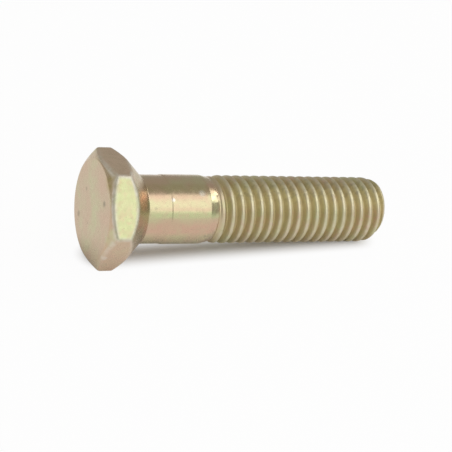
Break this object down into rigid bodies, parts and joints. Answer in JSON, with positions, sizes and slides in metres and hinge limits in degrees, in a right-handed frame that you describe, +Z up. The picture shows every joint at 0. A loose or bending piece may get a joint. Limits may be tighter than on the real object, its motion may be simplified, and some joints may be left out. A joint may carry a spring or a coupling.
{
  "type": "countersunk bolt",
  "caption": "Hexagon head countersunk bolt with a chamfered face, plain shank, shoulder and coarse rolled thread, zinc plated with a yellow finish.",
  "frame": {"origin": "on the floor, under the middle of the lying bolt's bounding box", "axes": "+X from the head towards the thread's end, +Z up; the bolt lies on a hexagon flat and on its thread, so its axis dips about 3.7 degrees towards +X"},
  "size_m": [0.059, 0.022, 0.0193],
  "materials": {
    "zinc_yellow": "zinc plate with an iridescent yellow passivation, semi-gloss over a forged and rolled surface"
  },
  "bodies": {
    "root": {"countersunk_bolt": "zinc_yellow"}
  },
  "joints": []
}
